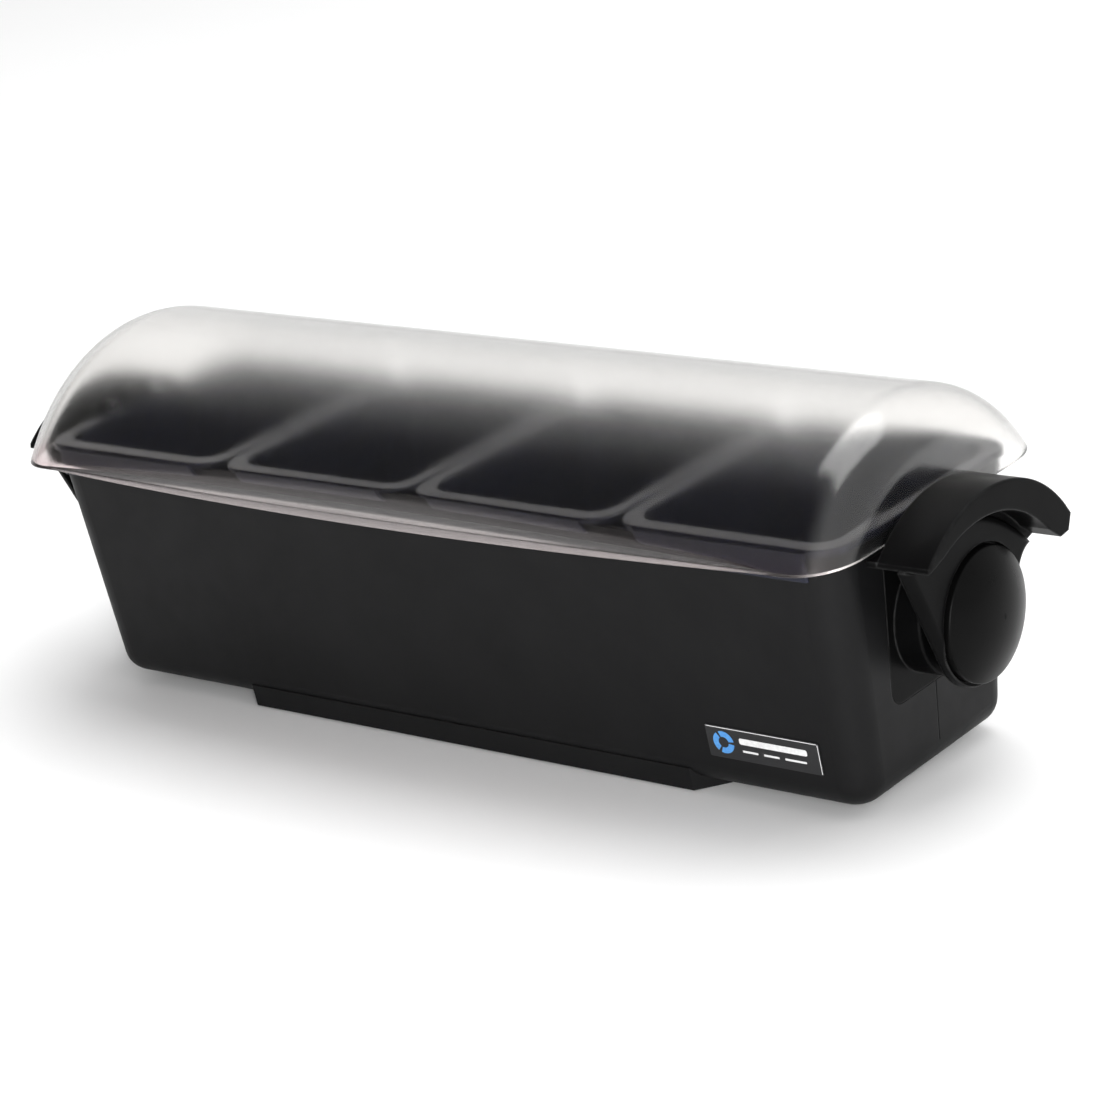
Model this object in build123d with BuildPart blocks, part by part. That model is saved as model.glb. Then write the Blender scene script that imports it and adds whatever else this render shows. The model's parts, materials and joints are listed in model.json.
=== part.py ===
from build123d import *
import math
import os

# Counter-top condiment station: a long black tub with four lift-out trays, and a frosted
# dome lid that rolls back about two hubs on the end walls.
# Frame: X along the length, -Y the front, +Z up, Z = 0 on the soles of the rubber feet.
# X = Y = 0 is the middle of the whole object's footprint.

# ---- driving dimensions, mm ----
TRAY_COUNT = 4
TRAY_PITCH = 115.0                # one tray to the next
SOLE = 1.2                        # how far the rubber feet stand out of the plinth

TUB_BOTTOM_Z = 5.0
TUB_TOP_Z = 125.4
TUB_BOTTOM = (443.8, 110.4)       # outside length and depth at the bottom
TUB_TOP = (456.6, 136.4)          # the same at the rim
TUB_CORNER_BOTTOM = 14.0
TUB_CORNER_TOP = 17.0
TUB_ROUND = 12.0                  # edge between the walls and the bottom
WALL = 3.2

PIVOT_Z = 78.7                    # height of the lid's turning axis
DOME_R = 98.5                     # outside radius of the dome's section
DOME_Z = 73.2                     # height of that section's centre
DOME_HALF = 236.5                 # from the middle to the outside of an end wall
DOME_ROUND = 22.0                 # between the dome and its end walls
DOME_WALL = 2.5
LID_EDGE_Z = 123.2                # the dome's lower edge
LIP_REACH = 10.0                  # how far the crescent finger lip stands forward
LIP_HALF = 205.0
LIP_T = 4.0
LIP_EDGE = 1.2
LIP_ROOT = 2.0                    # how far the lip's ends run in behind the dome's edge

HUB_R = 31.5
ARM_IN_X = DOME_HALF              # the arm's inner face, against the dome
HUB_IN_X = 240.0                  # inner face of the boss behind the hub
NECK_IN_X = 247.2
NECK_OUT_X = 252.0
GRIP_OUT_X = 262.0
GRIP_ARC_R = 70.5
GRIP_ARC_C = (-2.0, -13.0)        # centre of the grip's outer arc, from the pivot
RECESS_R = 30.3                   # seat of the hub cap in the arm
RECESS_X = 249.0

PIN_R = 8.0
PIN_DEPTH = 9.0                   # how far the pin goes into the pivot block
BUSH_R = 10.5
RUN_CLEARANCE = 0.05
BLOCK_FACE_X = 238.7              # outer face of the pivot block's boss
BLOCK_T = 1.2                     # thickness of the block's plate, let into the wall
BOSS_R = 28.0

# ---- derived values ----
# The lip widens the object at the front only, so the pivot plane sits behind the middle.
LID_EDGE_Y = math.sqrt(DOME_R ** 2 - (LID_EDGE_Z - DOME_Z) ** 2)
PIVOT_Y = LIP_REACH / 2
TUB_H = TUB_TOP_Z - TUB_BOTTOM_Z
FRONT_SLOPE = (TUB_TOP[1] - TUB_BOTTOM[1]) / 2 / TUB_H
END_SLOPE = (TUB_TOP[0] - TUB_BOTTOM[0]) / 2 / TUB_H
RIM_T = 3.2
TRAY_TOP_Z = TUB_TOP_Z + RIM_T

os.makedirs("parts", exist_ok=True)


def floor_plane(z):
    """Horizontal plane at height z, centred under the pivot axis."""
    return Plane(origin=(0, PIVOT_Y, z))


def side_plane(x):
    """Upright plane across the object; local x is +Y and local y is +Z, from the pivot."""
    return Plane(origin=(x, PIVOT_Y, PIVOT_Z), x_dir=(0, 1, 0), z_dir=(1, 0, 0))


def front_half(z):
    """Half the tub's outside depth at height z."""
    return TUB_BOTTOM[1] / 2 + FRONT_SLOPE * (z - TUB_BOTTOM_Z)


def end_half(z):
    """Half the tub's outside length at height z."""
    return TUB_BOTTOM[0] / 2 + END_SLOPE * (z - TUB_BOTTOM_Z)


def tapered_block(middle, z0, z1, size0, size1, r0, r1, bottom_round):
    """Upright block between two rounded rectangles, with its bottom edge rounded."""
    with BuildPart() as block:
        with BuildSketch(Plane(origin=(middle, PIVOT_Y, z0))):
            RectangleRounded(size0[0], size0[1], r0)
        with BuildSketch(Plane(origin=(middle, PIVOT_Y, z1))):
            RectangleRounded(size1[0], size1[1], r1)
        loft()
        fillet(block.faces().sort_by(Axis.Z)[0].edges(), bottom_round)
    return block.part


def save(name, builder):
    builder.part.label = name
    export_step(builder.part, "parts/" + name + ".step")


def save_pair(name, builder):
    """Write a right-hand piece, and its mirror image for the left end."""
    save(name + "_right", builder)
    with BuildPart() as other:
        mirror(builder.part, about=Plane.YZ)
    save(name + "_left", other)


# ---- pivot block: a U-shaped plate let into each end wall, with a boss for the arm ----
U_HALF = 32.8
U_BOTTOM = -34.0                  # below the pivot
U_CORNER = 8.0
END_ANGLE = math.atan(END_SLOPE)
END_FACE = Plane(
    origin=(end_half(PIVOT_Z), PIVOT_Y, PIVOT_Z),
    x_dir=(0, 1, 0),
    z_dir=(math.cos(END_ANGLE), 0, -math.sin(END_ANGLE)),
)
U_TOP = (TUB_TOP_Z - PIVOT_Z) / math.cos(END_ANGLE) - 6
U_GAP = 0.2                       # open joint line round the plate
BLOCK_SCREW_CIRCLE = 19.0
BLOCK_SCREW_R = 1.7
BLOCK_HEAD_R = 3.4
SCREW_GAP = 0.15


def u_outline(gap):
    """The U plate's outline in the end face, its lower corners rounded."""
    with BuildSketch(END_FACE) as outline:
        with Locations((0, (U_TOP + U_BOTTOM) / 2)):
            Rectangle(2 * (U_HALF + gap), U_TOP - U_BOTTOM + 2 * gap)
        fillet(outline.vertices().group_by(Axis.Z)[0], U_CORNER + gap)
    return outline.sketch


with BuildPart() as pivot_block:
    extrude(u_outline(0), amount=-BLOCK_T)
    with BuildSketch(side_plane(BLOCK_FACE_X)):
        Circle(BOSS_R)
    extrude(amount=end_half(0) - BLOCK_FACE_X)
    split(bisect_by=END_FACE.offset(-BLOCK_T), keep=Keep.TOP)
    fillet(pivot_block.edges().filter_by(GeomType.CIRCLE).sort_by(Axis.X)[-1], 0.8)
    with BuildSketch(side_plane(BLOCK_FACE_X)):
        Circle(PIN_R)
    extrude(amount=-PIN_DEPTH, mode=Mode.SUBTRACT)
    with Locations(END_FACE.offset(-BLOCK_T)):
        with PolarLocations(BLOCK_SCREW_CIRCLE, 3, start_angle=90):
            Cylinder(
                BLOCK_SCREW_R, 8.0, align=(Align.CENTER, Align.CENTER, Align.MIN), mode=Mode.SUBTRACT
            )
save_pair("pivot_block", pivot_block)

# Countersunk screws from inside the tub, flush with the wall's inner face.
with BuildPart() as block_screws:
    with Locations(END_FACE.offset(-WALL)):
        with PolarLocations(BLOCK_SCREW_CIRCLE, 3, start_angle=90):
            Cone(
                BLOCK_HEAD_R, BLOCK_SCREW_R, BLOCK_HEAD_R - BLOCK_SCREW_R,
                align=(Align.CENTER, Align.CENTER, Align.MIN),
            )
            Cylinder(
                BLOCK_SCREW_R, WALL - BLOCK_T + 7.0, align=(Align.CENTER, Align.CENTER, Align.MIN)
            )
            with Locations((0, 0, 0.5)):
                Box(BLOCK_HEAD_R * 1.1, 0.7, 1.0, mode=Mode.SUBTRACT)
                Box(0.7, BLOCK_HEAD_R * 1.1, 1.0, mode=Mode.SUBTRACT)
save_pair("block_screws", block_screws)

# What each end wall gives up: the U recess, the screw holes, and the seam groove below.
with BuildPart() as end_cutter:
    extrude(u_outline(U_GAP), amount=-BLOCK_T - U_GAP / 10)
    with Locations(END_FACE.offset(-WALL - SCREW_GAP)):
        with PolarLocations(BLOCK_SCREW_CIRCLE, 3, start_angle=90):
            Cone(
                BLOCK_HEAD_R + 2 * SCREW_GAP, BLOCK_SCREW_R + SCREW_GAP,
                BLOCK_HEAD_R - BLOCK_SCREW_R + SCREW_GAP,
                align=(Align.CENTER, Align.CENTER, Align.MIN),
            )
            Cylinder(
                BLOCK_SCREW_R + SCREW_GAP, WALL, align=(Align.CENTER, Align.CENTER, Align.MIN)
            )
    with BuildSketch(END_FACE):
        with Locations((0, U_BOTTOM - 14)):
            Rectangle(0.7, 28.0)
    extrude(amount=-0.6)

# ---- tub ----
FLOOR_BOSS_R = 6.0
FLOOR_BOSS_TOP = TUB_BOTTOM_Z + WALL + 5.0
PLINTH_SCREW_SPACING = (190.0, 60.0)
PLINTH_SCREW_R = 2.0
PLINTH_HEAD_R = 4.0

# The tub's outside, and the hollow inside it one wall thickness in.
tub_outside = tapered_block(
    0, TUB_BOTTOM_Z, TUB_TOP_Z, TUB_BOTTOM, TUB_TOP, TUB_CORNER_BOTTOM, TUB_CORNER_TOP, TUB_ROUND
)
tub_inside = tapered_block(
    0, TUB_BOTTOM_Z + WALL, TUB_TOP_Z,
    (2 * end_half(TUB_BOTTOM_Z + WALL) - 2 * WALL, 2 * front_half(TUB_BOTTOM_Z + WALL) - 2 * WALL),
    (TUB_TOP[0] - 2 * WALL, TUB_TOP[1] - 2 * WALL),
    TUB_CORNER_BOTTOM - WALL, TUB_CORNER_TOP - WALL, TUB_ROUND - WALL,
)

with BuildPart() as tub:
    add(tub_outside)
    add(tub_inside, mode=Mode.SUBTRACT)
    with Locations((0, PIVOT_Y, TUB_BOTTOM_Z + WALL)):
        with GridLocations(PLINTH_SCREW_SPACING[0], PLINTH_SCREW_SPACING[1], 2, 2):
            Cylinder(
                FLOOR_BOSS_R, FLOOR_BOSS_TOP - TUB_BOTTOM_Z - WALL,
                align=(Align.CENTER, Align.CENTER, Align.MIN),
            )
    with Locations((0, PIVOT_Y, TUB_BOTTOM_Z)):
        with GridLocations(PLINTH_SCREW_SPACING[0], PLINTH_SCREW_SPACING[1], 2, 2):
            Cylinder(
                PLINTH_SCREW_R, FLOOR_BOSS_TOP - TUB_BOTTOM_Z - 1.5,
                align=(Align.CENTER, Align.CENTER, Align.MIN), mode=Mode.SUBTRACT,
            )
    add(end_cutter.part, mode=Mode.SUBTRACT)
    mirror(end_cutter.part, about=Plane.YZ, mode=Mode.SUBTRACT)
save("tub", tub)

# ---- plinth: the foot under the tub, flush with its front and back faces ----
PLINTH_FRONT_HALF = 130.0
PLINTH_MID_HALF = 141.0
PLINTH_TOP_Z = 12.2
PLINTH_CHAMFER = 13.0
FOOT_R = 7.0
FOOT_SEAT = 1.8
FEET_SPACING = (236.0, 74.0)


def plinth_outline(half_depth):
    """Corner points of the plinth in plan, for half of it on the +X side."""
    return [
        (0, -half_depth),
        (PLINTH_FRONT_HALF, -half_depth),
        (PLINTH_MID_HALF, PLINTH_CHAMFER - half_depth),
        (PLINTH_MID_HALF, half_depth - PLINTH_CHAMFER),
        (PLINTH_FRONT_HALF, half_depth),
        (0, half_depth),
    ]


with BuildPart() as plinth:
    for z in (SOLE, PLINTH_TOP_Z):
        with BuildSketch(floor_plane(z)):
            with BuildLine():
                Polyline(plinth_outline(front_half(z)))
                mirror(about=Plane.YZ)
            make_face()
    loft(ruled=True)
    add(tub_outside, mode=Mode.SUBTRACT)
    with Locations((0, PIVOT_Y, SOLE)):
        with GridLocations(FEET_SPACING[0], FEET_SPACING[1], 2, 2):
            Cylinder(
                FOOT_R, FOOT_SEAT, align=(Align.CENTER, Align.CENTER, Align.MIN), mode=Mode.SUBTRACT
            )
        with GridLocations(PLINTH_SCREW_SPACING[0], PLINTH_SCREW_SPACING[1], 2, 2):
            Cylinder(
                PLINTH_SCREW_R, PLINTH_TOP_Z, align=(Align.CENTER, Align.CENTER, Align.MIN),
                mode=Mode.SUBTRACT,
            )
            Cone(
                PLINTH_HEAD_R, PLINTH_SCREW_R, PLINTH_HEAD_R - PLINTH_SCREW_R,
                align=(Align.CENTER, Align.CENTER, Align.MIN), mode=Mode.SUBTRACT,
            )
save("plinth", plinth)

with BuildPart() as plinth_screws:
    with Locations((0, PIVOT_Y, SOLE)):
        with GridLocations(PLINTH_SCREW_SPACING[0], PLINTH_SCREW_SPACING[1], 2, 2):
            Cone(
                PLINTH_HEAD_R, PLINTH_SCREW_R, PLINTH_HEAD_R - PLINTH_SCREW_R,
                align=(Align.CENTER, Align.CENTER, Align.MIN),
            )
            Cylinder(
                PLINTH_SCREW_R, FLOOR_BOSS_TOP - SOLE - 3.0,
                align=(Align.CENTER, Align.CENTER, Align.MIN),
            )
            Box(
                PLINTH_HEAD_R * 1.2, 0.8, 0.9,
                align=(Align.CENTER, Align.CENTER, Align.MIN), mode=Mode.SUBTRACT,
            )
            Box(
                0.8, PLINTH_HEAD_R * 1.2, 0.9,
                align=(Align.CENTER, Align.CENTER, Align.MIN), mode=Mode.SUBTRACT,
            )
save("plinth_screws", plinth_screws)

with BuildPart() as rubber_feet:
    with Locations((0, PIVOT_Y, 0)):
        with GridLocations(FEET_SPACING[0], FEET_SPACING[1], 2, 2):
            Cylinder(FOOT_R, SOLE + FOOT_SEAT, align=(Align.CENTER, Align.CENTER, Align.MIN))
    chamfer(rubber_feet.edges().filter_by(GeomType.CIRCLE).group_by(Axis.Z)[0], 0.5)
save("rubber_feet", rubber_feet)

# ---- blank label on the front face ----
LABEL_SIZE = (58.8, 15.6)
LABEL_CENTRE = (173.6, 29.3)
LABEL_T = 0.35
FRONT_ANGLE = math.atan(FRONT_SLOPE)
LABEL_FACE = Plane(
    origin=(LABEL_CENTRE[0], PIVOT_Y - front_half(LABEL_CENTRE[1]), LABEL_CENTRE[1]),
    x_dir=(1, 0, 0),
    z_dir=(0, -math.cos(FRONT_ANGLE), -math.sin(FRONT_ANGLE)),
)
with BuildPart() as label_plate:
    with BuildSketch(LABEL_FACE):
        RectangleRounded(LABEL_SIZE[0], LABEL_SIZE[1], 0.8)
    extrude(amount=LABEL_T)
save("label_plate", label_plate)

# ---- trays: each hangs by its rim on the tub's front and back walls ----
TRAY_GAP = 1.6
TRAY_RIM = (TRAY_PITCH - TRAY_GAP, 137.6)
TRAY_RIM_CORNER = 15.0
TRAY_RIM_EDGE = 1.0
TRAY_MOUTH = (103.0, 125.0)
TRAY_FLOOR = (92.0, 98.0)
TRAY_FLOOR_Z = 32.0
TRAY_FLOOR_ROUND = 9.0
TRAY_CORNER = 13.0
TRAY_WALL = 2.2
TAB_LENGTH = 87.2
TAB_DROP = 12.5
TAB_T = 1.7
TAB_CORNER = 1.2
TAB_STEP = 1.2                    # the tab's top sits this far below the rim's
TAB_FACE_Y = 70.0                 # the tab's outer face, from the pivot plane
for index in range(TRAY_COUNT):
    tray_x = (index - (TRAY_COUNT - 1) / 2) * TRAY_PITCH
    tray_shape = tapered_block(
        tray_x, TRAY_FLOOR_Z, TUB_TOP_Z, TRAY_FLOOR, TRAY_MOUTH, TRAY_CORNER, TRAY_CORNER,
        TRAY_FLOOR_ROUND,
    )
    tray_hollow = tapered_block(
        tray_x, TRAY_FLOOR_Z + TRAY_WALL, TRAY_TOP_Z,
        (TRAY_FLOOR[0] - 2 * TRAY_WALL, TRAY_FLOOR[1] - 2 * TRAY_WALL),
        (TRAY_MOUTH[0] - 2 * TRAY_WALL, TRAY_MOUTH[1] - 2 * TRAY_WALL),
        TRAY_CORNER - TRAY_WALL, TRAY_CORNER - TRAY_WALL, TRAY_FLOOR_ROUND - TRAY_WALL,
    )
    with BuildPart() as tray:
        add(tray_shape)
        with BuildSketch(Plane(origin=(tray_x, PIVOT_Y, TUB_TOP_Z))):
            RectangleRounded(TRAY_RIM[0], TRAY_RIM[1], TRAY_RIM_CORNER)
        extrude(amount=RIM_T)
        add(tray_hollow, mode=Mode.SUBTRACT)
        fillet(tray.faces().sort_by(Axis.Z)[-1].edges(), TRAY_RIM_EDGE)
        for side in (-1, 1):
            tab_y = PIVOT_Y + side * (TAB_FACE_Y - TAB_T / 2)
            with Locations((tray_x, tab_y, TRAY_TOP_Z - TAB_STEP)):
                Box(TAB_LENGTH, TAB_T, TAB_DROP, align=(Align.CENTER, Align.CENTER, Align.MAX))
        tab_corners = tray.edges().filter_by(Axis.Z).filter_by(
            lambda edge: abs(abs(edge.center().Y - PIVOT_Y) - TAB_FACE_Y) < 0.1
        )
        fillet(tab_corners, TAB_CORNER)
    save("tray_" + str(index + 1), tray)

# ---- dome lid ----
INNER_R = DOME_R - DOME_WALL
LID_SCREW_Y = 16.0
LID_SCREW_Z = 128.4
LID_SCREW_R = 1.6
LID_SCREW_DEPTH = 10.0


def dome_section(reach, radius, corner):
    """A solid of the dome's outside or inside, turned about the dome's own axis."""
    with BuildPart() as body:
        with BuildSketch(Plane.XZ) as profile:
            with Locations((0, radius / 2)):
                Rectangle(2 * reach, radius)
            fillet(profile.vertices().group_by(Axis.Z)[-1], corner)
        revolve(axis=Axis.X)
    return Location((0, PIVOT_Y, DOME_Z)) * body.part


dome_outside = dome_section(DOME_HALF, DOME_R, DOME_ROUND)
dome_inside = dome_section(DOME_HALF - DOME_WALL, INNER_R, DOME_ROUND - DOME_WALL)

with BuildPart() as lid:
    add(dome_outside)
    split(bisect_by=floor_plane(LID_EDGE_Z), keep=Keep.TOP)
    with BuildSketch(floor_plane(LID_EDGE_Z)):
        with BuildLine():
            lip_end_y = LIP_ROOT - LID_EDGE_Y
            ThreePointArc(
                (-LIP_HALF, lip_end_y), (0, -LID_EDGE_Y - LIP_REACH), (LIP_HALF, lip_end_y)
            )
            Line((LIP_HALF, lip_end_y), (-LIP_HALF, lip_end_y))
        make_face()
    extrude(amount=LIP_T)
    fillet(
        lid.edges().filter_by(GeomType.CIRCLE).filter_by(
            lambda edge: edge.center().Y < PIVOT_Y - LID_EDGE_Y - 1 and edge.length > LIP_HALF
        ),
        LIP_EDGE,
    )
    add(dome_inside, mode=Mode.SUBTRACT)
    # Screw holes through the end walls into the arms.
    for side in (-1, 1):
        end_plane = Plane(
            origin=(side * DOME_HALF, PIVOT_Y, 0), x_dir=(0, side, 0), z_dir=(side, 0, 0)
        )
        with Locations(end_plane):
            with Locations((-LID_SCREW_Y, LID_SCREW_Z), (LID_SCREW_Y, LID_SCREW_Z)):
                Cylinder(LID_SCREW_R, 3 * DOME_WALL, mode=Mode.SUBTRACT)
save("lid", lid)

# ---- arm outlines, as (y, z) from the pivot ----


def on_grip_arc(y):
    """Point of the grip's outer arc above the given y."""
    rise = math.sqrt(GRIP_ARC_R ** 2 - (y - GRIP_ARC_C[0]) ** 2)
    return (y, GRIP_ARC_C[1] + rise)


def tangent_on_hub(point, turn):
    """Where a line from the point touches the hub circle; turn picks the side."""
    distance = math.hypot(*point)
    angle = math.atan2(point[1], point[0]) - turn * math.acos(HUB_R / distance)
    return (HUB_R * math.cos(angle), HUB_R * math.sin(angle))


GRIP_FRONT = on_grip_arc(-49.0)
GRIP_BACK = on_grip_arc(57.5)
GRIP_BACK_LOW = (54.5, 17.6)
GRIP_BACK_IN = (48.5, 17.0)
GRIP_BACK_ROUND = 6.0
GRIP_EDGE = 0.9
GRIP_TIP = (-49.5, 37.3)
UNDER_FRONT = (-38.0, 40.4)
UNDER_TOP = (-10.5, 46.4)
UNDER_BACK = (40.0, 23.5)

# ---- arm: carries the dome, turns on the pivot, and ends in the grip ----
NECK_FRONT = (-51.0, 37.3)        # where the neck leaves the grip, at the front
NECK_TOP = (-6.0, 45.6)
NECK_SHOULDER = (22.0, 34.0)
NECK_BACK = (43.0, 15.5)          # the neck's point under the back of the grip
NECK_WAIST = (35.5, 13.0)
NECK_HUB = (HUB_R * math.cos(math.radians(10)), HUB_R * math.sin(math.radians(10)))
NECK_ROUND = 4.0
HUB_BOSS_R = 24.0
WEB_BACK = (50.0, 17.2)
WEB_ARCH = (8.0, 33.5)            # the web's lower edge arches over the hub here
SHELF_IN_X = 231.5
SHELF_T = 2.6
SHELF_HALF = 47.5
SHELF_Y = -2.0
SPIGOT_R = 18.0                   # ring in the recess that the hub cap clips over
SPIGOT_T = 2.0

# Neck: a plate that narrows from the grip to the hub, its outer edge rounded.
with BuildPart() as neck:
    with BuildSketch(side_plane(NECK_IN_X)):
        Circle(HUB_R)
        with BuildLine():
            Polyline(tangent_on_hub(NECK_FRONT, -1), NECK_FRONT, UNDER_FRONT, NECK_TOP)
            ThreePointArc(NECK_TOP, NECK_SHOULDER, NECK_BACK)
            ThreePointArc(NECK_BACK, NECK_WAIST, NECK_HUB)
            Polyline(NECK_HUB, (0, 0), tangent_on_hub(NECK_FRONT, -1))
        make_face()
    extrude(amount=NECK_OUT_X - NECK_IN_X)
    fillet(neck.faces().sort_by(Axis.X)[-1].outer_wire().edges(), NECK_ROUND)

with BuildPart() as arm:
    # Crescent grip, from the dome's end wall outwards.
    with BuildSketch(side_plane(ARM_IN_X)) as grip_outline:
        with BuildLine():
            RadiusArc(GRIP_FRONT, GRIP_BACK, GRIP_ARC_R)
            Polyline(GRIP_BACK, GRIP_BACK_LOW, GRIP_BACK_IN, UNDER_BACK)
            ThreePointArc(UNDER_BACK, UNDER_TOP, UNDER_FRONT)
            Polyline(UNDER_FRONT, GRIP_TIP, GRIP_FRONT)
        make_face()
        fillet(grip_outline.vertices().sort_by(Axis.Y)[-1], GRIP_BACK_ROUND)
    extrude(amount=GRIP_OUT_X - ARM_IN_X)
    fillet(arm.faces().sort_by(Axis.X)[-1].edges(), GRIP_EDGE)
    add(neck.part)
    with BuildSketch(side_plane(HUB_IN_X)):
        Circle(HUB_BOSS_R)
    extrude(amount=NECK_OUT_X - HUB_IN_X - NECK_ROUND)
    # Web against the dome's end wall, and the shelf that runs on under the dome's edge.
    with BuildSketch(side_plane(ARM_IN_X)):
        with BuildLine():
            RadiusArc(GRIP_FRONT, GRIP_BACK, GRIP_ARC_R)
            Polyline(GRIP_BACK, WEB_BACK, NECK_BACK)
            ThreePointArc(NECK_BACK, WEB_ARCH, GRIP_TIP)
            Line(GRIP_TIP, GRIP_FRONT)
        make_face()
    extrude(amount=NECK_IN_X - ARM_IN_X)
    with BuildSketch(side_plane(SHELF_IN_X)):
        with Locations((SHELF_Y, GRIP_TIP[1])):
            Rectangle(2 * SHELF_HALF, SHELF_T, align=(Align.CENTER, Align.MIN))
    extrude(amount=ARM_IN_X - SHELF_IN_X)
    # Seat for the hub cap, its spigot, and the bore for the bush.
    with BuildSketch(side_plane(RECESS_X)):
        Circle(RECESS_R)
        Circle(SPIGOT_R, mode=Mode.SUBTRACT)
    extrude(amount=GRIP_OUT_X - RECESS_X, mode=Mode.SUBTRACT)
    with BuildSketch(side_plane(RECESS_X)):
        Circle(SPIGOT_R - SPIGOT_T)
    extrude(amount=GRIP_OUT_X - RECESS_X, mode=Mode.SUBTRACT)
    with BuildSketch(side_plane(HUB_IN_X)):
        Circle(BUSH_R)
    extrude(amount=RECESS_X - HUB_IN_X, mode=Mode.SUBTRACT)
    with BuildSketch(side_plane(ARM_IN_X)):
        with Locations((-LID_SCREW_Y, LID_SCREW_Z - PIVOT_Z), (LID_SCREW_Y, LID_SCREW_Z - PIVOT_Z)):
            Circle(LID_SCREW_R)
    extrude(amount=LID_SCREW_DEPTH, mode=Mode.SUBTRACT)
save_pair("arm", arm)

with BuildPart() as lid_screws:
    with BuildSketch(side_plane(DOME_HALF - DOME_WALL)):
        with Locations((-LID_SCREW_Y, LID_SCREW_Z - PIVOT_Z), (LID_SCREW_Y, LID_SCREW_Z - PIVOT_Z)):
            Circle(LID_SCREW_R)
    extrude(amount=DOME_WALL + LID_SCREW_DEPTH)
    with BuildSketch(side_plane(DOME_HALF - DOME_WALL)):
        with Locations((-LID_SCREW_Y, LID_SCREW_Z - PIVOT_Z), (LID_SCREW_Y, LID_SCREW_Z - PIVOT_Z)):
            Circle(2 * LID_SCREW_R)
    extrude(amount=-1.6)
    chamfer(lid_screws.faces().sort_by(Axis.X)[0].edges(), 0.4)
save_pair("lid_screws", lid_screws)

# ---- pivot: bush in the arm, washer, and a shouldered pin in the block ----
BUSH_FLANGE_T = 1.0
WASHER_R = 14.0
WASHER_T = 1.0
PIN_HEAD_R = 12.0
PIN_HEAD_T = 3.2
END_PLAY = 0.3
PIN_HEAD_X = RECESS_X + WASHER_T + END_PLAY

with BuildPart() as pivot_bush:
    with BuildSketch(side_plane(HUB_IN_X)):
        Circle(BUSH_R)
    extrude(amount=RECESS_X - HUB_IN_X)
    with BuildSketch(side_plane(HUB_IN_X)):
        Circle(WASHER_R)
    extrude(amount=-BUSH_FLANGE_T)
    with BuildSketch(side_plane(HUB_IN_X - BUSH_FLANGE_T)):
        Circle(PIN_R + RUN_CLEARANCE)
    extrude(amount=RECESS_X - HUB_IN_X + BUSH_FLANGE_T, mode=Mode.SUBTRACT)
save_pair("pivot_bush", pivot_bush)

with BuildPart() as pivot_washer:
    with BuildSketch(side_plane(RECESS_X)):
        Circle(WASHER_R)
        Circle(PIN_R + END_PLAY, mode=Mode.SUBTRACT)
    extrude(amount=WASHER_T)
save_pair("pivot_washer", pivot_washer)

with BuildPart() as pivot_pin:
    with BuildSketch(side_plane(BLOCK_FACE_X - PIN_DEPTH)):
        Circle(PIN_R)
    extrude(amount=PIN_HEAD_X - BLOCK_FACE_X + PIN_DEPTH)
    with BuildSketch(side_plane(PIN_HEAD_X)):
        Circle(PIN_HEAD_R)
    extrude(amount=PIN_HEAD_T)
    chamfer(pivot_pin.faces().sort_by(Axis.X)[-1].edges(), 0.5)
    with BuildSketch(side_plane(PIN_HEAD_X + PIN_HEAD_T)):
        RegularPolygon(4.0, 6)
    extrude(amount=-2.2, mode=Mode.SUBTRACT)
save_pair("pivot_pin", pivot_pin)

# ---- hub cap: a shallow dome over the pivot ----
CAP_R = 29.2
CAP_IN_X = RECESS_X + 0.2
CAP_RIM_X = 254.0
CAP_TIP_X = GRIP_OUT_X
CAP_WALL = 2.2


def cap_sphere_r(rim_r, rise):
    """Radius of the sphere whose cap has this rim and rise."""
    return (rim_r ** 2 + rise ** 2) / (2 * rise)


cap_profile_plane = Plane(origin=(0, PIVOT_Y, PIVOT_Z), x_dir=(1, 0, 0), z_dir=(0, -1, 0))
with BuildPart() as hub_cap:
    with BuildSketch(cap_profile_plane):
        with BuildLine():
            inner_r = CAP_R - CAP_WALL
            Polyline((CAP_IN_X, inner_r), (CAP_IN_X, CAP_R), (CAP_RIM_X, CAP_R))
            RadiusArc(
                (CAP_RIM_X, CAP_R), (CAP_TIP_X, 0), cap_sphere_r(CAP_R, CAP_TIP_X - CAP_RIM_X)
            )
            Line((CAP_TIP_X, 0), (CAP_TIP_X - CAP_WALL, 0))
            RadiusArc(
                (CAP_RIM_X - CAP_WALL / 2, inner_r), (CAP_TIP_X - CAP_WALL, 0),
                cap_sphere_r(inner_r, CAP_TIP_X - CAP_RIM_X - CAP_WALL / 2),
            )
            Line((CAP_RIM_X - CAP_WALL / 2, inner_r), (CAP_IN_X, inner_r))
        make_face()
    revolve(axis=Axis((0, PIVOT_Y, PIVOT_Z), (1, 0, 0)))
    with BuildSketch(side_plane(CAP_IN_X)):
        Circle(SPIGOT_R + SPIGOT_T)
        Circle(SPIGOT_R, mode=Mode.SUBTRACT)
    extrude(amount=CAP_RIM_X + 3.3 - CAP_IN_X)
    fillet(hub_cap.edges().filter_by(GeomType.CIRCLE).filter_by(
        lambda edge: abs(edge.radius - CAP_R) < 0.01 and edge.center().X > CAP_RIM_X - 0.1
    ), 1.0)
save_pair("hub_cap", hub_cap)
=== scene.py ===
import json
import math

import bpy
from mathutils import Matrix, Vector


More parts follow.
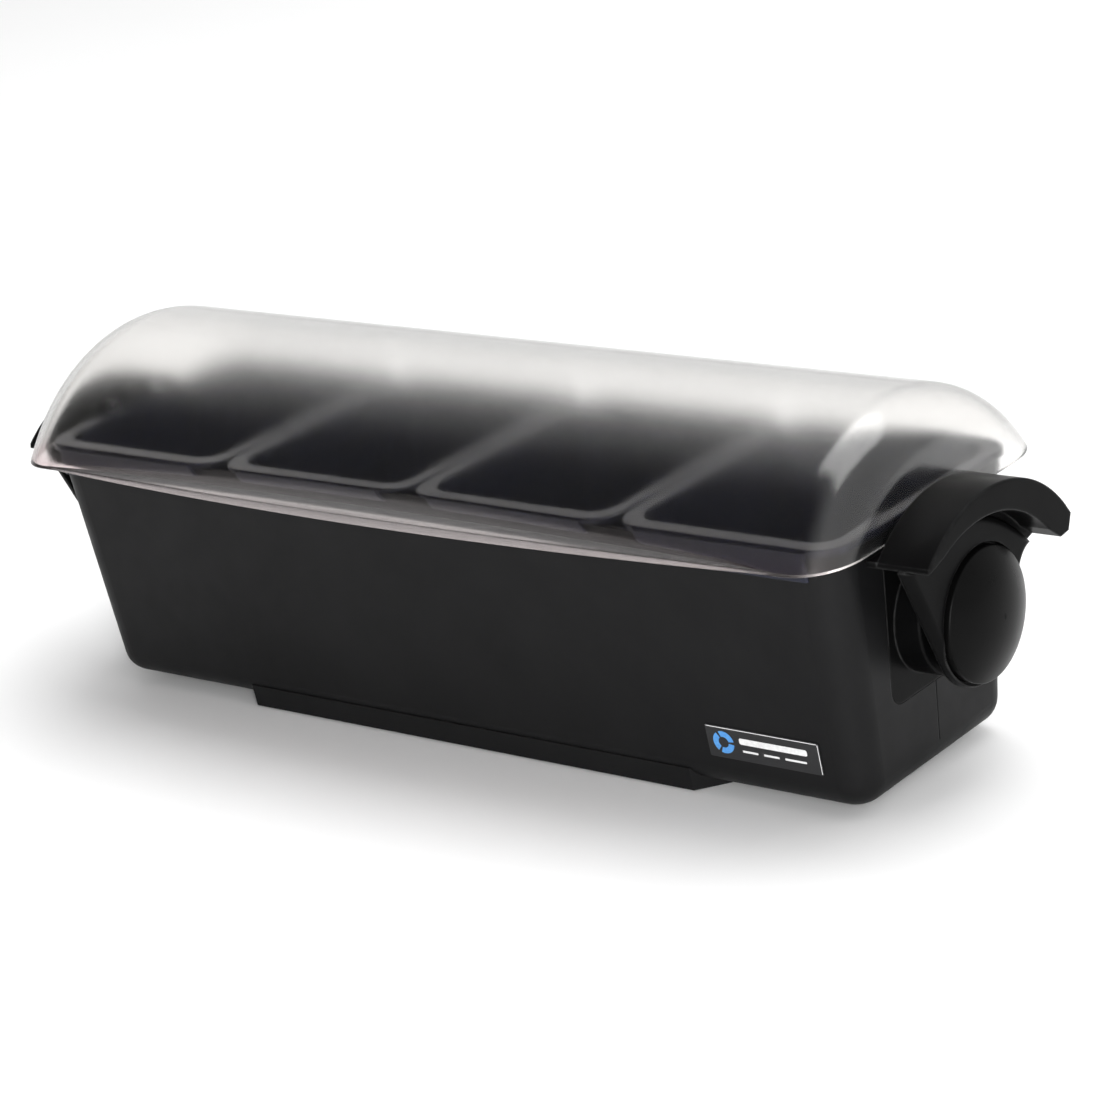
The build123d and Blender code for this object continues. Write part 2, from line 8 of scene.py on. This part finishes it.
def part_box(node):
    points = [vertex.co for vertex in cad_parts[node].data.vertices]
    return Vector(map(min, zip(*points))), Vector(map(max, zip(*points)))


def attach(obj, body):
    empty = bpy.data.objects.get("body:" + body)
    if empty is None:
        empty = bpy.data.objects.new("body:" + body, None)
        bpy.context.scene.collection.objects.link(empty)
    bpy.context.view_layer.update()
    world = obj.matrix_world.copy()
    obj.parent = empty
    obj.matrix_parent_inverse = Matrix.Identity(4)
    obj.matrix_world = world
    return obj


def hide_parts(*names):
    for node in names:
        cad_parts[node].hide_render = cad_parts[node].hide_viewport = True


# Looks of a bar condiment station: black tub, four dark trays and a frosted roll-back dome.
# Everything is in metres, in the CAD's frame: +X to the right, -Y the front, +Z up.

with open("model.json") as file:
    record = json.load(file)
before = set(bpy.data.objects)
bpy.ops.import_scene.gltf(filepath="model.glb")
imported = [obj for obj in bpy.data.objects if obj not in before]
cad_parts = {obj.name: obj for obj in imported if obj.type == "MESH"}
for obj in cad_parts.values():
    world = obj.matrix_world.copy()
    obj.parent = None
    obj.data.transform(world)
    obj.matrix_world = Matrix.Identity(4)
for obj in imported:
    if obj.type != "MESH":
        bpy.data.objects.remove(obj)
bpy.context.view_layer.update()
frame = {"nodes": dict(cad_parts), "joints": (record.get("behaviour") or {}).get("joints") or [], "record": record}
NODES = frame["nodes"]
PIVOT = Vector(frame["joints"][0]["pos_m"])
MM = 0.001


# ---------------------------------------------------------------- materials


def new_material(name):
    """An empty node material, and its node tree's principled shader and output."""
    material = bpy.data.materials.new(name)
    material.use_nodes = True
    tree = material.node_tree
    return material, tree, tree.nodes["Principled BSDF"]


def object_coordinates(tree, size):
    """Object coordinates scaled so that one unit of texture is `size` metres."""
    coordinates = tree.nodes.new("ShaderNodeTexCoord")
    mapping = tree.nodes.new("ShaderNodeMapping")
    mapping.inputs["Scale"].default_value = (1 / size,) * 3
    tree.links.new(coordinates.outputs["Object"], mapping.inputs["Vector"])
    return mapping.outputs["Vector"]


def noise(tree, size, detail=3.0, roughness=0.5):
    """Noise whose features are about `size` metres across."""
    texture = tree.nodes.new("ShaderNodeTexNoise")
    texture.inputs["Scale"].default_value = 1.0
    texture.inputs["Detail"].default_value = detail
    texture.inputs["Roughness"].default_value = roughness
    tree.links.new(object_coordinates(tree, size), texture.inputs["Vector"])
    return texture.outputs["Fac"]


def spread(tree, factor, low, high, start=0.3, end=0.7):
    """Turn a 0 to 1 factor into a number between low and high."""
    node = tree.nodes.new("ShaderNodeMapRange")
    node.inputs["From Min"].default_value = start
    node.inputs["From Max"].default_value = end
    node.inputs["To Min"].default_value = low
    node.inputs["To Max"].default_value = high
    tree.links.new(factor, node.inputs["Value"])
    return node.outputs["Result"]


def mixed_colour(tree, factor, first, second):
    """Blend two colours by a factor."""
    node = tree.nodes.new("ShaderNodeMix")
    node.data_type = "RGBA"
    node.inputs["A"].default_value = (*first, 1.0)
    node.inputs["B"].default_value = (*second, 1.0)
    tree.links.new(factor, node.inputs["Factor"])
    return node.outputs["Result"]


def bump(tree, height, distance, strength, normal=None):
    """A bump node; its normal input is linked when one is given."""
    node = tree.nodes.new("ShaderNodeBump")
    node.inputs["Distance"].default_value = distance
    node.inputs["Strength"].default_value = strength
    tree.links.new(height, node.inputs["Height"])
    if normal is not None:
        tree.links.new(normal, node.inputs["Normal"])
    return node.outputs["Normal"]


def worn_and_highlit_edges(tree, radius):
    """A mask of the convex and concave edges within `radius`, and the softened normal."""
    bevel = tree.nodes.new("ShaderNodeBevel")
    bevel.samples = 4
    bevel.inputs["Radius"].default_value = radius
    geometry = tree.nodes.new("ShaderNodeNewGeometry")
    dot = tree.nodes.new("ShaderNodeVectorMath")
    dot.operation = "DOT_PRODUCT"
    tree.links.new(bevel.outputs["Normal"], dot.inputs[0])
    tree.links.new(geometry.outputs["Normal"], dot.inputs[1])
    mask = spread(tree, dot.outputs["Value"], 0.0, 1.0, start=1.0, end=0.75)
    return mask, bevel.outputs["Normal"]


def moulded_plastic(name, dark, light, wear_and_highlight, roughness, specular, grain, grain_depth, edge):
    """Black moulded plastic: blotchy tone, moulded grain, and edges a little paler, partly as rubbed wear and
    partly as a painted highlight.
    """
    material, tree, shader = new_material(name)
    edge_mask, soft_normal = worn_and_highlit_edges(tree, edge)
    broken = tree.nodes.new("ShaderNodeMath")
    broken.operation = "MULTIPLY"
    tree.links.new(edge_mask, broken.inputs[0])
    tree.links.new(spread(tree, noise(tree, 6 * MM), 0.15, 0.9), broken.inputs[1])
    tone = mixed_colour(tree, spread(tree, noise(tree, 35 * MM), 0.0, 1.0), dark, light)
    # The paler edge colour is partly rubbed wear and partly a painted highlight along the edges.
    wear_and_highlight_mix = tree.nodes.new("ShaderNodeMix")
    wear_and_highlight_mix.data_type = "RGBA"
    wear_and_highlight_mix.inputs["B"].default_value = (*wear_and_highlight, 1.0)
    tree.links.new(tone, wear_and_highlight_mix.inputs["A"])
    tree.links.new(broken.outputs["Value"], wear_and_highlight_mix.inputs["Factor"])
    tree.links.new(wear_and_highlight_mix.outputs["Result"], shader.inputs["Base Color"])
    tree.links.new(
        spread(tree, noise(tree, 18 * MM, detail=5.0), roughness - 0.05, roughness + 0.05),
        shader.inputs["Roughness"],
    )
    shader.inputs["Specular IOR Level"].default_value = specular
    sag = bump(tree, noise(tree, 60 * MM, detail=1.0), 0.25 * MM, 0.35, soft_normal)
    skin = bump(tree, noise(tree, grain, detail=2.0), grain_depth, 0.6, sag)
    tree.links.new(skin, shader.inputs["Normal"])
    return material


FROST_PALE = (0.985, 0.975, 0.96)
FROST_DEEP = (0.97, 0.96, 0.945)
LIP_PAINTED_ROSE = (0.78, 0.66, 0.66)              # painted light: the lit lip's faint rosy cast
LIP_PAINTED_ROSE_Z = (0.1235, 0.136)               # it fades out upwards from the lip
LIP_PAINTED_ROSE_Y = (-0.075, -0.05)               # and towards the back


def painted_lip_mask(tree):
    """1 along the dome's front edge, fading upwards and backwards."""
    place = tree.nodes.new("ShaderNodeTexCoord")
    axes = tree.nodes.new("ShaderNodeSeparateXYZ")
    tree.links.new(place.outputs["Object"], axes.inputs["Vector"])
    both = tree.nodes.new("ShaderNodeMath")
    both.operation = "MULTIPLY"
    for slot, (axis, (start, end)) in enumerate((("Z", LIP_PAINTED_ROSE_Z), ("Y", LIP_PAINTED_ROSE_Y))):
        fade = spread(tree, axes.outputs[axis], 1.0, 0.0, start=start, end=end)
        tree.links.new(fade, both.inputs[slot])
    return both.outputs["Value"]


def frosted_plastic(name):
    """Clear plastic with a fine matt skin, so that it blurs what lies further behind it."""
    material, tree, shader = new_material(name)
    shader.inputs["Transmission Weight"].default_value = 1.0
    shader.inputs["IOR"].default_value = 1.49
    patches = spread(tree, noise(tree, 40 * MM), 0.0, 1.0)
    tone = mixed_colour(tree, patches, FROST_DEEP, FROST_PALE)
    # A rosy colour painted along the front lip stands in for the pinkish light seen through the lip's edge; it is
    # kept off the back edge.
    painted_lip_tone = tree.nodes.new("ShaderNodeMix")
    painted_lip_tone.data_type = "RGBA"
    painted_lip_tone.inputs["B"].default_value = (*LIP_PAINTED_ROSE, 1.0)
    tree.links.new(tone, painted_lip_tone.inputs["A"])
    tree.links.new(painted_lip_mask(tree), painted_lip_tone.inputs["Factor"])
    tree.links.new(painted_lip_tone.outputs["Result"], shader.inputs["Base Color"])
    tree.links.new(spread(tree, noise(tree, 3 * MM), 0.14, 0.17), shader.inputs["Roughness"])
    speckle = bump(tree, noise(tree, 0.9 * MM, detail=2.0), 0.035 * MM, 0.5)
    tree.links.new(speckle, shader.inputs["Normal"])
    return material


def turned_steel(name):
    """Stainless steel with fine turning marks."""
    material, tree, shader = new_material(name)
    shader.inputs["Metallic"].default_value = 1.0
    tone = mixed_colour(tree, noise(tree, 4 * MM), (0.50, 0.50, 0.51), (0.62, 0.61, 0.60))
    tree.links.new(tone, shader.inputs["Base Color"])
    tree.links.new(spread(tree, noise(tree, 1 * MM), 0.22, 0.36), shader.inputs["Roughness"])
    tree.links.new(bump(tree, noise(tree, 0.25 * MM), 0.02 * MM, 0.4), shader.inputs["Normal"])
    return material


def natural_nylon(name):
    """Waxy off-white nylon."""
    material, tree, shader = new_material(name)
    tone = mixed_colour(tree, noise(tree, 8 * MM), (0.70, 0.68, 0.61), (0.80, 0.79, 0.74))
    tree.links.new(tone, shader.inputs["Base Color"])
    tree.links.new(spread(tree, noise(tree, 2 * MM), 0.38, 0.5), shader.inputs["Roughness"])
    tree.links.new(bump(tree, noise(tree, 0.8 * MM), 0.03 * MM, 0.4), shader.inputs["Normal"])
    return material


def matt_rubber(name):
    """Black rubber with a dusty bloom."""
    material, tree, shader = new_material(name)
    tone = mixed_colour(tree, noise(tree, 5 * MM), (0.012, 0.012, 0.012), (0.035, 0.034, 0.033))
    tree.links.new(tone, shader.inputs["Base Color"])
    tree.links.new(spread(tree, noise(tree, 3 * MM), 0.75, 0.9), shader.inputs["Roughness"])
    tree.links.new(bump(tree, noise(tree, 0.5 * MM), 0.05 * MM, 0.5), shader.inputs["Normal"])
    return material


def printed_film(name, first, second, roughness):
    """Ink on a smooth film, with faint unevenness in the print."""
    material, tree, shader = new_material(name)
    tone = mixed_colour(tree, spread(tree, noise(tree, 1.2 * MM), 0.0, 1.0), first, second)
    tree.links.new(tone, shader.inputs["Base Color"])
    tree.links.new(
        spread(tree, noise(tree, 4 * MM), roughness, roughness + 0.08), shader.inputs["Roughness"]
    )
    tree.links.new(bump(tree, noise(tree, 0.6 * MM), 0.01 * MM, 0.3), shader.inputs["Normal"])
    return material


TUB_BLACK = moulded_plastic(
    "tub_black_moulded", (0.0038, 0.0038, 0.0041), (0.0058, 0.0058, 0.0061), (0.02, 0.02, 0.02),
    roughness=0.5, specular=0.13, grain=0.35 * MM, grain_depth=0.03 * MM, edge=0.7 * MM,
)
# The arm's paler edge colour is a painted highlight: it stands in for the bright lines its rounded grip edges
# catch.
ARM_BLACK = moulded_plastic(
    "arm_black_moulded", (0.0018, 0.0018, 0.0019), (0.003, 0.003, 0.0031), (0.05, 0.05, 0.05),
    roughness=0.34, specular=0.035, grain=0.3 * MM, grain_depth=0.025 * MM, edge=1.4 * MM,
)
CAP_BLACK = moulded_plastic(
    "cap_black_moulded", (0.0016, 0.0016, 0.0016), (0.0026, 0.0026, 0.0026), (0.03, 0.03, 0.03),
    roughness=0.3, specular=0.06, grain=0.3 * MM, grain_depth=0.015 * MM, edge=0.5 * MM,
)
TRAY_DARK = moulded_plastic(
    "tray_dark_moulded", (0.005, 0.006, 0.0135), (0.008, 0.009, 0.019), (0.04, 0.04, 0.05),
    roughness=0.22, specular=0.25, grain=0.6 * MM, grain_depth=0.01 * MM, edge=0.6 * MM,
)
FROSTED = frosted_plastic("lid_frosted_skin")
STEEL = turned_steel("steel_turned")
NYLON = natural_nylon("nylon_natural")
RUBBER = matt_rubber("rubber_matt")
LABEL_BLACK = printed_film("label_black_film", (0.005, 0.005, 0.006), (0.008, 0.008, 0.009), 0.3)
LABEL_WHITE = printed_film("label_white_print", (0.62, 0.62, 0.62), (0.75, 0.75, 0.75), 0.4)
LABEL_BLUE = printed_film("label_blue_print", (0.05, 0.22, 0.55), (0.08, 0.30, 0.66), 0.35)

SLOT_MATERIALS = {
    "tub_black": TUB_BLACK,
    "arm_black": ARM_BLACK,
    "cap_black": CAP_BLACK,
    "tray_dark": TRAY_DARK,
    "lid_frosted": FROSTED,
    "rubber": RUBBER,
    "steel": STEEL,
    "nylon": NYLON,
    "label": LABEL_BLACK,
}
for part in frame["record"]["subparts"]:
    node = NODES[part["node"]]
    node.data.materials.clear()
    node.data.materials.append(SLOT_MATERIALS[part["material_slot"]])


# ---------------------------------------------------------------- mesh helpers


def mesh_piece(name, points, faces, material, smooth=True):
    """A mesh object from points and faces, shaded smooth unless told otherwise."""
    mesh = bpy.data.meshes.new(name)
    mesh.from_pydata(points, [], faces)
    mesh.validate()
    mesh.update()
    for polygon in mesh.polygons:
        polygon.use_smooth = smooth
    mesh.materials.append(material)
    piece = bpy.data.objects.new(name, mesh)
    bpy.context.scene.collection.objects.link(piece)
    return piece


def ring_faces(rings, count, closed):
    """Quads between neighbouring rings of `count` points each."""
    faces = []
    last = count if closed else count - 1
    for ring in range(rings - 1):
        for step in range(last):
            here = ring * count + step
            beside = ring * count + (step + 1) % count
            faces.append((here, here + count, beside + count, beside))
    return faces


# ---------------------------------------------------------------- frosted dome
# The shell's section is an arc about an axis below its edge. Its rounded ends run into flat
# end walls, and its front edge flares out into a crescent finger lip.

LID_LOW, LID_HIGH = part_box("lid")
DOME_R = 98.5 * MM
DOME_WALL = 2.5 * MM
DOME_ROUND = 22 * MM
DOME_HALF = LID_HIGH.x
DOME_Y = PIVOT.y
DOME_Z = LID_HIGH.z - DOME_R
EDGE_RISE = LID_LOW.z - DOME_Z         # the edge's height above the section's centre
EDGE_REACH = math.sqrt(DOME_R ** 2 - EDGE_RISE ** 2)
LIP_REACH = DOME_Y - EDGE_REACH - LID_LOW.y
LIP_HALF = 205 * MM
LIP_FADE = 8 * MM                      # length over which the lip's ends die out
LIP_BAND = (1.5 * MM, 4.0 * MM)        # height of the lip's upright face, at its ends and middle
LIP_TOP = (5 * MM, 12 * MM)            # height where the flare runs into the dome, the same way
LIP_CORNER = 0.5 * MM
SHARP_FROM = math.radians(40)          # a corner sharper than this is shaded as an edge

ARC_STEPS = 84                         # points along the outer arc, front to back
LIP_STEPS = 16                         # how many of them belong to the lip
ROUND_STEPS = 12
WALL_STEPS = 10
LENGTH_STEPS = 86


def dome_stations():
    """Points of the half profile as (x, r, outward x, outward r), from the middle to the end."""
    flat = DOME_HALF - DOME_ROUND
    stations = [(flat * i / LENGTH_STEPS, DOME_R, 0.0, 1.0) for i in range(LENGTH_STEPS)]
    for i in range(ROUND_STEPS + 1):
        angle = math.pi / 2 * i / ROUND_STEPS
        stations.append((
            flat + DOME_ROUND * math.sin(angle),
            DOME_R - DOME_ROUND * (1 - math.cos(angle)),
            math.sin(angle), math.cos(angle),
        ))
    wall_top = DOME_R - DOME_ROUND
    for i in range(1, WALL_STEPS + 1):
        share = i / WALL_STEPS
        stations.append((DOME_HALF, wall_top + (EDGE_RISE - wall_top) * share, 1.0, 0.0))
    return stations


def edge_angle(radius):
    """Angle from upright at which the arc of that radius meets the dome's edge."""
    return math.acos(min(1.0, EDGE_RISE / radius))


def lip_reach(x):
    """How far the crescent stands out at x."""
    if abs(x) >= LIP_HALF:
        return 0.0
    return LIP_REACH * (1 - (x / LIP_HALF) ** 2)


def lip_presence(x):
    """1 along the lip, fading to 0 just past its ends."""
    share = min(1.0, max(0.0, (LIP_HALF + LIP_FADE - abs(x)) / LIP_FADE))
    return share * share * (3 - 2 * share)


def surface_point(x, radius, height):
    """Front point of the arc of that radius, `height` above the dome's edge."""
    rise = EDGE_RISE + height
    return -math.sqrt(max(radius ** 2 - rise ** 2, 0.0)), rise


def outer_arc(x, radius):
    """Points (y, z) from the section's centre, from the front edge over the top to the back."""
    fullness = lip_reach(x) / LIP_REACH
    band = LIP_BAND[0] + (LIP_BAND[1] - LIP_BAND[0]) * fullness
    top = LIP_TOP[0] + (LIP_TOP[1] - LIP_TOP[0]) * fullness
    heights = [0.0, band - LIP_CORNER]
    for i in range(4):
        heights.append(band - LIP_CORNER * math.cos(math.pi / 2 * (i + 1) / 4))
    for i in range(1, LIP_STEPS - 4):
        heights.append(band + (top - band) * (i / (LIP_STEPS - 5)) ** 1.4)
    headroom = min(1.0, (radius - EDGE_RISE) / (DOME_R - EDGE_RISE))
    present = lip_presence(x)
    edge_y = surface_point(x, radius, 0.0)[0]
    corner_y = surface_point(x, radius, band * headroom)[0]
    points = []
    for height in heights:
        y, z = surface_point(x, radius, height * headroom)
        if present > 0:
            face_y = edge_y - lip_reach(x)
            if height <= band:
                into = max(0.0, height - (band - LIP_CORNER)) / LIP_CORNER
                lip_y = face_y + LIP_CORNER * (1 - math.sqrt(max(0.0, 1 - into * into)))
            else:
                share = (height - band) / (top - band)
                lip_y = y + (face_y + LIP_CORNER - corner_y) * (1 - share) ** 3.2
            y += (lip_y - y) * present
        points.append((y, z))
    start = math.asin(surface_point(x, radius, heights[-1] * headroom)[0] / radius)
    end = edge_angle(radius)
    remaining = ARC_STEPS - len(points)
    for i in range(1, remaining + 1):
        angle = start + (end - start) * i / remaining
        points.append((radius * math.sin(angle), radius * math.cos(angle)))
    return points


def inner_arc(radius):
    """The inside of the shell, from the back edge over the top to the front."""
    end = edge_angle(radius)
    angles = [end - 2 * end * i / (ARC_STEPS - 1) for i in range(ARC_STEPS)]
    return [(radius * math.sin(angle), radius * math.cos(angle)) for angle in angles]


def dome_lid():
    """The frosted shell, as one closed skin."""
    half = dome_stations()
    stations = [(-x, r, -ox, o) for x, r, ox, o in reversed(half[1:])] + half
    points = []
    for x, r, out_x, out_r in stations:
        inner_x = x - DOME_WALL * out_x
        inner_r = max(r - DOME_WALL * out_r, EDGE_RISE)
        points += [(x, DOME_Y + y, DOME_Z + z) for y, z in outer_arc(x, r)]
        points += [(inner_x, DOME_Y + y, DOME_Z + z) for y, z in inner_arc(inner_r)]
    piece = mesh_piece("lid_shell", points, ring_faces(len(stations), 2 * ARC_STEPS, True), FROSTED)
    weld = piece.modifiers.new("weld", "WELD")
    weld.merge_threshold = 0.01 * MM
    return piece


def apply_modifiers(piece):
    """Replace the piece's mesh by its evaluated one."""
    graph = bpy.context.evaluated_depsgraph_get()
    mesh = bpy.data.meshes.new_from_object(piece.evaluated_get(graph))
    piece.modifiers.clear()
    piece.data = mesh
    return piece


lid_shell = apply_modifiers(dome_lid())
lid_shell.data.set_sharp_from_angle(angle=SHARP_FROM)
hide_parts("lid")
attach(lid_shell, "lid")


# ---------------------------------------------------------------- label print
# A generic mark on the blank label: a blue ring and plain pale bars, with a thin border.

PRINT_T = 0.04 * MM
LABEL_LOW, LABEL_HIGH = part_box("label_plate")


def label_frame():
    """Plane of the label's printed face: origin at its centre, x along it, y up it, z out."""
    node = NODES["label_plate"]
    normal = Vector((0, 0, 0))
    for polygon in node.data.polygons:
        if polygon.area > 0 and polygon.normal.y < -0.9:
            normal += polygon.normal * polygon.area
    normal.normalize()
    up = (Vector((0, 0, 1)) - normal * normal.z).normalized()
    along = up.cross(normal).normalized()
    corners = [v.co for v in node.data.vertices]
    face = max(corner.dot(normal) for corner in corners)
    middle = sum(corners, Vector()) / len(corners)
    origin = middle + normal * (face - middle.dot(normal))
    return Matrix((
        (along.x, up.x, normal.x, origin.x),
        (along.y, up.y, normal.y, origin.y),
        (along.z, up.z, normal.z, origin.z),
        (0, 0, 0, 1),
    ))


LABEL_PLANE = label_frame()
LABEL_HALF_X = (LABEL_HIGH.x - LABEL_LOW.x) / 2
LABEL_HALF_Y = (LABEL_HIGH.z - LABEL_LOW.z) / 2


def print_piece(name, outlines, material):
    """Thin raised print: each outline is a closed loop of (x, y) on the label's face."""
    points = []
    faces = []
    for outline in outlines:
        base = len(points)
        count = len(outline)
        for lift in (0.0, PRINT_T):
            points += [LABEL_PLANE @ Vector((x, y, lift)) for x, y in outline]
        faces.append(tuple(range(base + count, base + 2 * count)))
        faces.append(tuple(reversed(range(base, base + count))))
        for i in range(count):
            j = (i + 1) % count
            faces.append((base + i, base + j, base + count + j, base + count + i))
    piece = mesh_piece(name, points, faces, material, smooth=False)
    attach(piece, "base")
    return piece


def bar(x0, y0, x1, y1):
    """A rectangle with clipped corners."""
    cut = min(x1 - x0, y1 - y0) * 0.2
    return [
        (x0 + cut, y0), (x1 - cut, y0), (x1, y0 + cut), (x1, y1 - cut),
        (x1 - cut, y1), (x0 + cut, y1), (x0, y1 - cut), (x0, y0 + cut),
    ]


def ring_sector(middle, inner, outer, start, end, steps=20):
    """A piece of a flat ring between two angles, in degrees."""
    outline = []
    for radius, angles in ((outer, (start, end)), (inner, (end, start))):
        for i in range(steps + 1):
            angle = math.radians(angles[0] + (angles[1] - angles[0]) * i / steps)
            outline.append(
                (middle[0] + radius * math.cos(angle), middle[1] + radius * math.sin(angle))
            )
    return outline


RING_AT = (-LABEL_HALF_X + 8.5 * MM, 0.0)
print_piece(
    "label_ring",
    [ring_sector(RING_AT, 2.6 * MM, 5.4 * MM, start, start + 104) for start in (8, 128, 248)],
    LABEL_BLUE,
)
BAR_X = -LABEL_HALF_X + 17 * MM
print_piece(
    "label_bars",
    [
        bar(BAR_X, 0.4 * MM, BAR_X + 35 * MM, 3.4 * MM),
        bar(BAR_X + 1 * MM, -3.4 * MM, BAR_X + 9 * MM, -2.4 * MM),
        bar(BAR_X + 12 * MM, -3.4 * MM, BAR_X + 20 * MM, -2.4 * MM),
        bar(BAR_X + 23 * MM, -3.4 * MM, BAR_X + 34 * MM, -2.4 * MM),
    ],
    LABEL_WHITE,
)
BORDER = 0.35 * MM
BORDER_IN = 0.5 * MM
EDGE_X = LABEL_HALF_X - BORDER_IN
EDGE_Y = LABEL_HALF_Y - BORDER_IN
print_piece(
    "label_border",
    [
        bar(-EDGE_X, EDGE_Y - BORDER, EDGE_X - 2 * BORDER, EDGE_Y),
        bar(EDGE_X - BORDER, -EDGE_Y, EDGE_X, EDGE_Y - BORDER),
    ],
    LABEL_WHITE,
)


# ---------------------------------------------------------------- stage, light, camera

FLOOR_HALF = 9.0


def floor_material():
    """Pale matt paper."""
    material, tree, shader = new_material("floor_paper")
    tone = mixed_colour(tree, noise(tree, 0.4), (0.90, 0.90, 0.90), (0.93, 0.93, 0.93))
    tree.links.new(tone, shader.inputs["Base Color"])
    tree.links.new(spread(tree, noise(tree, 0.05), 0.85, 0.95), shader.inputs["Roughness"])
    shader.inputs["Specular IOR Level"].default_value = 0.1
    return material


floor = mesh_piece(
    "floor",
    [(-FLOOR_HALF, -FLOOR_HALF, 0), (FLOOR_HALF, -FLOOR_HALF, 0),
     (FLOOR_HALF, FLOOR_HALF, 0), (-FLOOR_HALF, FLOOR_HALF, 0)],
    [(0, 1, 2, 3)],
    floor_material(),
)


def softbox(name, at, towards, size, power, colour=(1.0, 1.0, 1.0)):
    """A rectangular area light, aimed at a point."""
    light = bpy.data.lights.new(name, "AREA")
    light.shape = "RECTANGLE"
    light.size, light.size_y = size
    light.energy = power
    light.color = colour
    lamp = bpy.data.objects.new(name, light)
    lamp.location = at
    lamp.rotation_euler = (Vector(towards) - Vector(at)).to_track_quat("-Z", "Y").to_euler()
    bpy.context.scene.collection.objects.link(lamp)
    return lamp


softbox("light_top", (0.1, 0.6, 2.6), (0, 0, 0.1), (2.6, 1.8), 52)
softbox("light_key", (1.1, -1.2, 0.42), (0.1, 0, 0.1), (0.42, 0.8), 24)

# The studio is white all round but for a dark curtain, high at the front left, which keeps
# the dome's front clear of glare.
CURTAIN = Vector((-0.5, -0.65, 0.57)).normalized()
CURTAIN_EDGE = (0.4, 0.85)             # cosines of the curtain's soft outer edge and its core
SKY = 0.97
CURTAIN_GLOW = 0.06


def studio_world():
    """White surroundings with the dark curtain in them."""
    world = bpy.data.worlds.new("studio")
    world.use_nodes = True
    tree = world.node_tree
    background = tree.nodes["Background"]
    background.inputs["Color"].default_value = (1.0, 1.0, 1.0, 1.0)
    coordinates = tree.nodes.new("ShaderNodeTexCoord")
    nearness = tree.nodes.new("ShaderNodeVectorMath")
    nearness.operation = "DOT_PRODUCT"
    nearness.inputs[1].default_value = CURTAIN
    tree.links.new(coordinates.outputs["Generated"], nearness.inputs[0])
    strength = spread(tree, nearness.outputs["Value"], SKY, CURTAIN_GLOW, *CURTAIN_EDGE)
    tree.links.new(strength, background.inputs["Strength"])
    return world


bpy.context.scene.world = studio_world()
bpy.context.scene.view_settings.view_transform = "Standard"

# The camera looks down from the front right, with the horizon tipped.
CAMERA_AT = PIVOT + Vector((1.04474, -1.15339, 0.56913))
CAMERA_YAW = math.radians(41.62)
CAMERA_DOWN = math.radians(20.262)
CAMERA_ROLL = math.radians(-8.631)
CAMERA_LENS = 118.8

sight = Vector((
    -math.sin(CAMERA_YAW) * math.cos(CAMERA_DOWN),
    math.cos(CAMERA_YAW) * math.cos(CAMERA_DOWN),
    -math.sin(CAMERA_DOWN),
))
level = Vector((math.cos(CAMERA_YAW), math.sin(CAMERA_YAW), 0))
upright = level.cross(sight)
right = math.cos(CAMERA_ROLL) * level + math.sin(CAMERA_ROLL) * upright
above = math.cos(CAMERA_ROLL) * upright - math.sin(CAMERA_ROLL) * level
camera_data = bpy.data.cameras.new("camera")
camera_data.lens = CAMERA_LENS
camera_data.sensor_width = 36.0
camera_data.clip_end = 50.0
camera = bpy.data.objects.new("camera", camera_data)
camera.matrix_world = Matrix((
    (right.x, above.x, -sight.x, CAMERA_AT.x),
    (right.y, above.y, -sight.y, CAMERA_AT.y),
    (right.z, above.z, -sight.z, CAMERA_AT.z),
    (0, 0, 0, 1),
))
bpy.context.scene.collection.objects.link(camera)
bpy.context.scene.camera = camera
